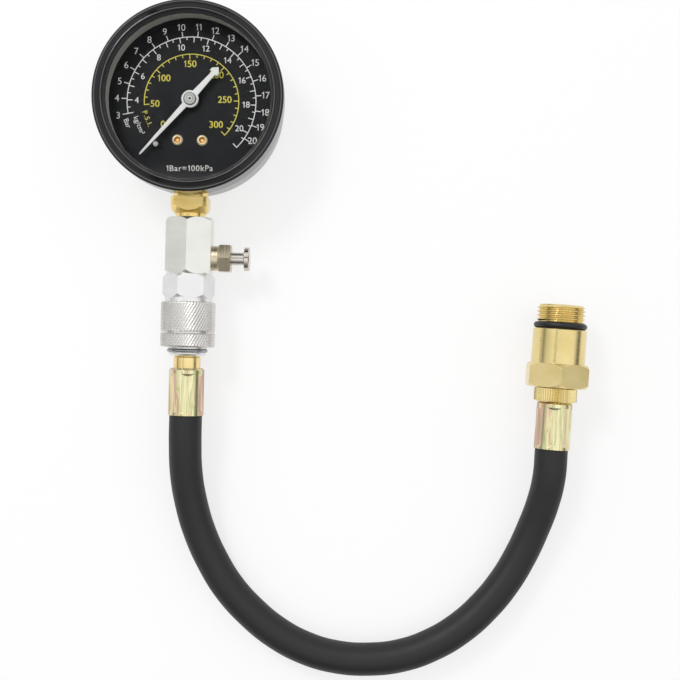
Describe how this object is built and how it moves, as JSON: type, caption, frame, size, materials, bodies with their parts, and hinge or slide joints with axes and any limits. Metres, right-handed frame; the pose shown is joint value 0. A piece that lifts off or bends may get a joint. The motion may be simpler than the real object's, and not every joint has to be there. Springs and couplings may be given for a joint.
{
  "type": "compression tester gauge",
  "caption": "Dial pressure gauge lying on its back, with release valve, ball-lock coupler and a short bent hose ending in a threaded spark plug fitting.",
  "frame": {"origin": "centre of the case's flat back, on the dial axis", "axes": "+Z out of the dial, the stem and coupler run along -Y, the release button points along +X"},
  "size_m": [0.1868, 0.2515, 0.0296],
  "materials": {
    "black_paint": "semi-gloss black enamel",
    "case_steel": "turned steel with fine lines round the case",
    "glass": "clear flat lens",
    "spacer_plastic": "matt warm grey moulding",
    "dial_black": "matt black print",
    "white_paint": "satin white paint",
    "satin_metal": "satin grey",
    "brass": "machined brass",
    "pale_brass": "machined pale brass",
    "steel": "bright steel",
    "aluminium": "satin clear anodised",
    "nickel": "nickel plate",
    "black_steel": "blackened spring steel",
    "rubber": "matt black rubber",
    "zinc_yellow": "yellow passivated zinc"
  },
  "bodies": {
    "gauge": {"case": "case_steel", "bezel": "black_paint", "lens": "glass", "spacer_ring": "spacer_plastic", "dial": "dial_black", "dial_rivets": "brass", "stop_pin": "steel", "socket": "brass", "case_screws": "steel", "bourdon_tube": "brass", "hairspring": "steel", "back_plate": "brass", "front_plate": "brass", "pillars": "brass", "movement_screws": "steel", "adapter_body": "aluminium", "valve_housing": "nickel", "release_spring": "steel", "coupler_body": "aluminium", "sleeve_spring": "steel", "snap_ring": "black_steel", "lock_balls": "steel", "coupler_seal": "rubber"},
    "pointer_shaft": {"pointer": "white_paint", "pointer_cap": "satin_metal", "pinion_arbor": "steel"},
    "sector": {"sector_gear": "brass"},
    "tip": {"tube_tip": "brass"},
    "pull_link": {"link": "brass"},
    "release_button": {"release_pin": "nickel", "release_seal": "rubber"},
    "sleeve": {"coupler_sleeve": "aluminium"},
    "hose_assembly": {"hose_plug": "brass", "near_ferrule": "zinc_yellow", "hose": "rubber", "far_ferrule": "zinc_yellow", "hose_end": "pale_brass", "thread_adapter": "pale_brass", "seal_ring": "rubber", "valve_core_body": "brass", "valve_spring": "steel"},
    "check_pin": {"valve_pin": "steel"}
  },
  "joints": [
    {"name": "pointer_turn", "type": "hinge", "parent": "gauge", "child": "pointer_shaft", "pos_m": [0, 0, 0.0119], "axis": [0, 0, 1], "range_deg": [-277, 0], "deforming": ["hairspring", "bourdon_tube"]},
    {"name": "sector_swing", "type": "hinge", "parent": "gauge", "child": "sector", "pos_m": [0.01603, -0.01001, 0.0119], "axis": [0, 0, 1], "range_deg": [0, 35]},
    {"name": "tip_flex", "type": "hinge", "parent": "gauge", "child": "tip", "pos_m": [-0.0042, 0.007, 0.0085], "axis": [0, 0, 1], "range_deg": [0, 5]},
    {"name": "link_swing", "type": "hinge", "parent": "tip", "child": "pull_link", "pos_m": [0.022, -0.005, 0.0128], "axis": [0, 0, 1], "range_deg": [0, 5.5]},
    {"name": "release_press", "type": "slide", "parent": "gauge", "child": "release_button", "axis": [-1, 0, 0], "range_m": [0, 0.0025], "stiffness_N_per_m": 800, "springref_m": -0.002, "deforming": ["release_spring"]},
    {"name": "sleeve_pull", "type": "slide", "parent": "gauge", "child": "sleeve", "axis": [0, 1, 0], "range_m": [0, 0.0015], "stiffness_N_per_m": 1500, "springref_m": -0.003, "deforming": ["sleeve_spring"]},
    {"name": "hose_swivel", "type": "hinge", "parent": "gauge", "child": "hose_assembly", "pos_m": [0, -0.09, 0.012], "axis": [0, 1, 0], "continuous": true},
    {"name": "valve_pin_press", "type": "slide", "parent": "hose_assembly", "child": "check_pin", "axis": [-0.0489, -0.9988, 0], "range_m": [0, 0.0012], "stiffness_N_per_m": 300, "springref_m": -0.001, "deforming": ["valve_spring"]}
  ],
  "couplings": [
    {"joint": "sector_swing", "follows": "pointer_turn", "ratio": -0.125},
    {"joint": "tip_flex", "follows": "pointer_turn", "ratio": -0.017087},
    {"joint": "link_swing", "follows": "pointer_turn", "ratio": -0.0186}
  ]
}
